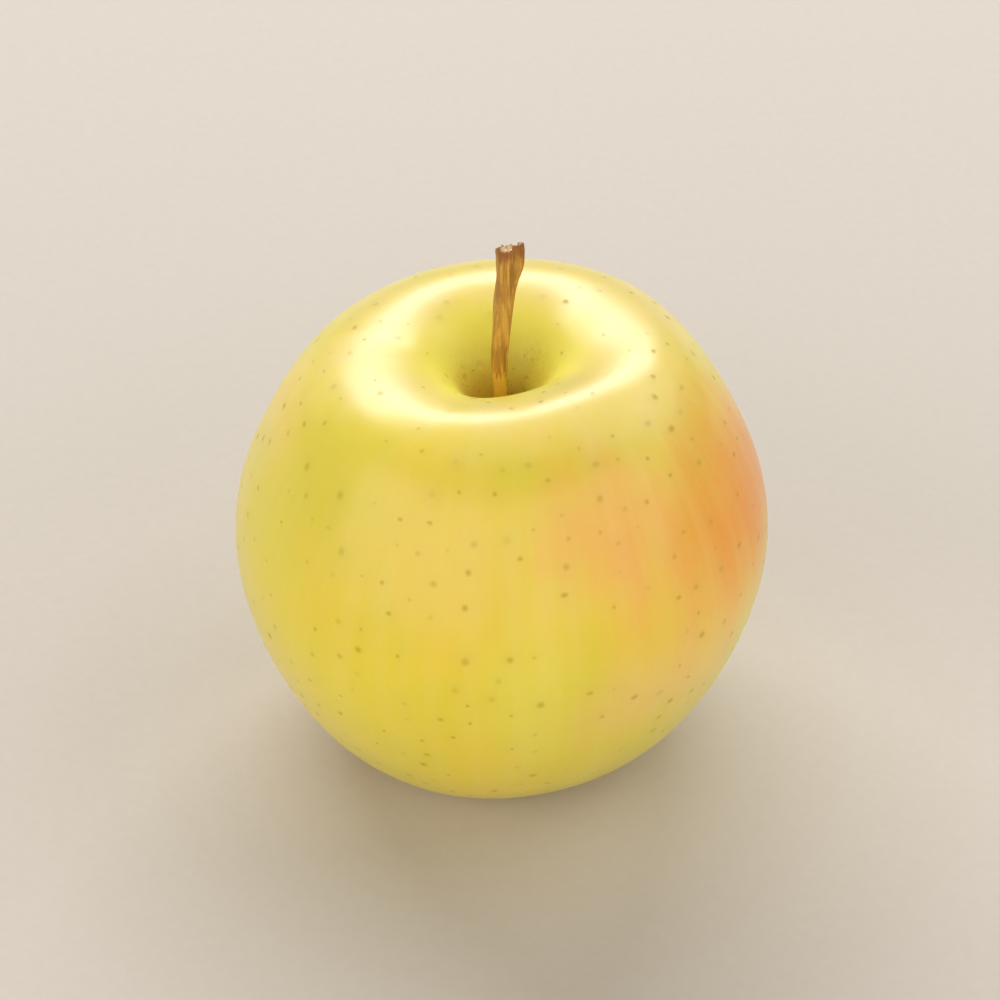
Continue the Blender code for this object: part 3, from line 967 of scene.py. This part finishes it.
def stamen_rings(turn, rng):
    """A dry thread in the middle of the calyx, bent a little and tapering."""
    start = rng.uniform(0.3, 1.1) * MM
    lean = rng.uniform(0.2, 0.9) * MM
    length = rng.uniform(2.0, 3.6) * MM
    around = np.arange(6) / 6 * math.tau
    rings = []
    for s in np.linspace(0.0, 1.0, 7):
        radius = start + lean * s**2
        thick = STAMEN_RADIUS * (1.0 - 0.55 * s)
        x = radius * math.cos(turn) + thick * np.cos(around) + AXIS.x
        y = radius * math.sin(turn) + thick * np.sin(around) + AXIS.y
        rings.append(np.stack([x, y, np.full(6, CALYX_TOP - s * length)], axis=1))
    return rings


def core_rings():
    """The low woody cup in the basin floor that carries sepals and stamens."""
    line = smooth_curve([
        (0.3 * SEPAL_ROOT, CALYX_TOP),
        (1.15 * SEPAL_ROOT, CALYX_TOP - 0.1 * MM),
        (1.30 * SEPAL_ROOT, CALYX_TOP - 0.9 * MM),
        (0.90 * SEPAL_ROOT, CALYX_TOP - 1.3 * MM),
        (0.15 * SEPAL_ROOT, CALYX_TOP - 0.7 * MM),
    ], 16)
    around = np.arange(30) / 30 * math.tau
    rings = []
    for radius, level in line:
        spread = radius * (1.0 + 0.06 * np.cos(SEPALS * around))
        rings.append(np.stack([
            spread * np.cos(around) + AXIS.x, spread * np.sin(around) + AXIS.y, np.full(30, level),
        ], axis=1))
    return rings


def make_calyx(material):
    rng = np.random.default_rng(CALYX_SEED)
    meshes = [ring_mesh("core", core_rings())]
    for i in range(SEPALS):
        turn = math.tau * (i + rng.uniform(-0.09, 0.09)) / SEPALS + SEPAL_TURN
        reach = rng.uniform(*SEPAL_REACH) * MM
        curl = rng.uniform(*SEPAL_CURL) * MM
        meshes.append(ring_mesh("sepal", sepal_rings(turn, reach, curl, rng)))
    for i in range(STAMENS):
        turn = math.tau * i / STAMENS + rng.uniform(0, 0.4)
        meshes.append(ring_mesh("stamen", stamen_rings(turn, rng)))
    for mesh in meshes:
        mesh.materials.append(material)
    return joined("calyx_husk", meshes)


def joined(name, meshes):
    """One object of many meshes."""
    parts = []
    for mesh in meshes:
        part = bpy.data.objects.new(name, mesh)
        bpy.context.scene.collection.objects.link(part)
        parts.append(part)
    with bpy.context.temp_override(active_object=parts[0], selected_editable_objects=parts):
        bpy.ops.object.join()
    return parts[0]


def dried_husk():
    """Sepals dried on the fruit: brittle, grey brown and downy, darker towards the core."""
    material, tree = new_material("dried sepals")
    place = add(tree, "ShaderNodeTexCoord").outputs["Object"]

    # The real hairs are far finer than half a millimetre, drawn coarser so that they show
    down = add(tree, NOISE, {"Vector": place, "Scale": 1 / (0.5 * MM), "Detail": 4.0})
    colour = add(tree, MIX, {
        "Factor_Float": down, "A_Color": linear("#5c4527"), "B_Color": linear("#a08c62"),
    }, data_type="RGBA")
    deep = add(tree, SPLIT, place).outputs["Z"]
    deep = add(tree, RANGE, {
        "Value": deep, "From Min": 5.0 * MM, "From Max": 8.5 * MM, "To Max": 0.7,
    })
    colour = add(tree, MIX, {
        "Factor_Float": deep, "A_Color": colour, "B_Color": linear("#33260f"),
    }, data_type="RGBA")
    relief = add(tree, "ShaderNodeBump", {"Strength": 0.7, "Distance": 0.08 * MM, "Height": down})
    shader = add(tree, "ShaderNodeBsdfPrincipled", {
        "Base Color": colour, "Roughness": 0.9, "Normal": relief,
    })
    add(tree, "ShaderNodeOutputMaterial", shader)
    return material


# The studio

CAMERA_PLACE = Vector((-44.6 * MM, -377.0 * MM, 328.4 * MM))
AIM = Vector((0.0, 0.0, 45.0 * MM))
SENSOR = 36.0
FOCAL_SHARE = 2.857
FLOOR_HALF = 6.0
FLOOR_DROP = 0.1 * MM
WORLD_STRENGTH = 0.22

# Each light: name, place and size in metres, power in watts, colour
LIGHTS = [
    ("wide light behind", (-0.10, 1.52, 1.48), (2.4, 0.6), 41.0, "#ffffff"),
    ("light from the upper right", (1.50, 0.25, 1.50), (1.5, 1.5), 11.0, "#fffdf8"),
    ("left front light", (-1.75, -1.50, 0.85), (4.2, 2.2), 49.0, "#fff9f2"),
    ("right front light", (1.30, -1.90, 0.85), (3.2, 1.9), 27.0, "#fff9f2"),
]


def look_at(obj, target):
    obj.rotation_euler = (target - obj.location).to_track_quat("-Z", "Y").to_euler()


def make_camera():
    """The photograph's place and lens, turned so that the whole fruit is in the middle."""
    data = bpy.data.cameras.new("camera")
    data.sensor_width = SENSOR
    data.lens = SENSOR * FOCAL_SHARE
    data.dof.use_dof = False
    camera = bpy.data.objects.new("camera", data)
    camera.location = CAMERA_PLACE
    look_at(camera, AIM)
    bpy.context.scene.collection.objects.link(camera)
    bpy.context.scene.camera = camera


def make_light(name, place, size, power, colour):
    """A soft box of this width and height that faces the fruit."""
    data = bpy.data.lights.new(name, "AREA")
    data.shape = "RECTANGLE"
    data.size, data.size_y = size
    data.energy = power
    data.color = linear(colour)[:3]
    light = bpy.data.objects.new(name, data)
    light.location = place
    look_at(light, AIM)
    bpy.context.scene.collection.objects.link(light)


def make_studio():
    make_camera()
    for light in LIGHTS:
        make_light(*light)
    world = bpy.data.worlds.new("pale studio")
    world.use_nodes = True
    background = world.node_tree.nodes["Background"].inputs
    background["Color"].default_value = linear("#f4f1ee")
    background["Strength"].default_value = WORLD_STRENGTH
    bpy.context.scene.world = world
    bpy.context.scene.view_settings.view_transform = "Standard"
    make_floor()


def make_floor():
    """A wide sheet of matt pale paper just under the fruit."""
    material, tree = new_material("pale paper floor")
    fibre = add(tree, NOISE, {
        "Vector": add(tree, "ShaderNodeTexCoord").outputs["Object"], "Scale": 1 / (2 * MM), "Detail": 3.0,
    })
    colour = add(tree, MIX, {
        "Factor_Float": fibre, "A_Color": linear("#cac2b8"), "B_Color": linear("#d0c8be"),
    }, data_type="RGBA")
    shader = add(tree, "ShaderNodeBsdfPrincipled", {"Base Color": colour, "Roughness": 0.9})
    add(tree, "ShaderNodeOutputMaterial", shader)
    mesh = bpy.data.meshes.new("floor")
    corners = ((-1, -1), (1, -1), (1, 1), (-1, 1))
    corners = [(x * FLOOR_HALF, y * FLOOR_HALF, -FLOOR_DROP) for x, y in corners]
    mesh.from_pydata(corners, [], [(0, 1, 2, 3)])
    mesh.materials.append(material)
    floor = bpy.data.objects.new("floor", mesh)
    bpy.context.scene.collection.objects.link(floor)


def main():
    make_studio()
    skin = make_skin(waxy_skin("waxy yellow skin", SKIN_SCATTER))
    pores = make_pores(skin, waxy_skin("corky pores", 0.0))
    stem = make_stem(stem_bark())
    calyx = make_calyx(dried_husk())

    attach(skin, "root")
    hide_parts("apple")
    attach(pores, "root")
    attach(stem, "root")
    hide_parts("stem")
    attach(calyx, "root")
    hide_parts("calyx")


main()
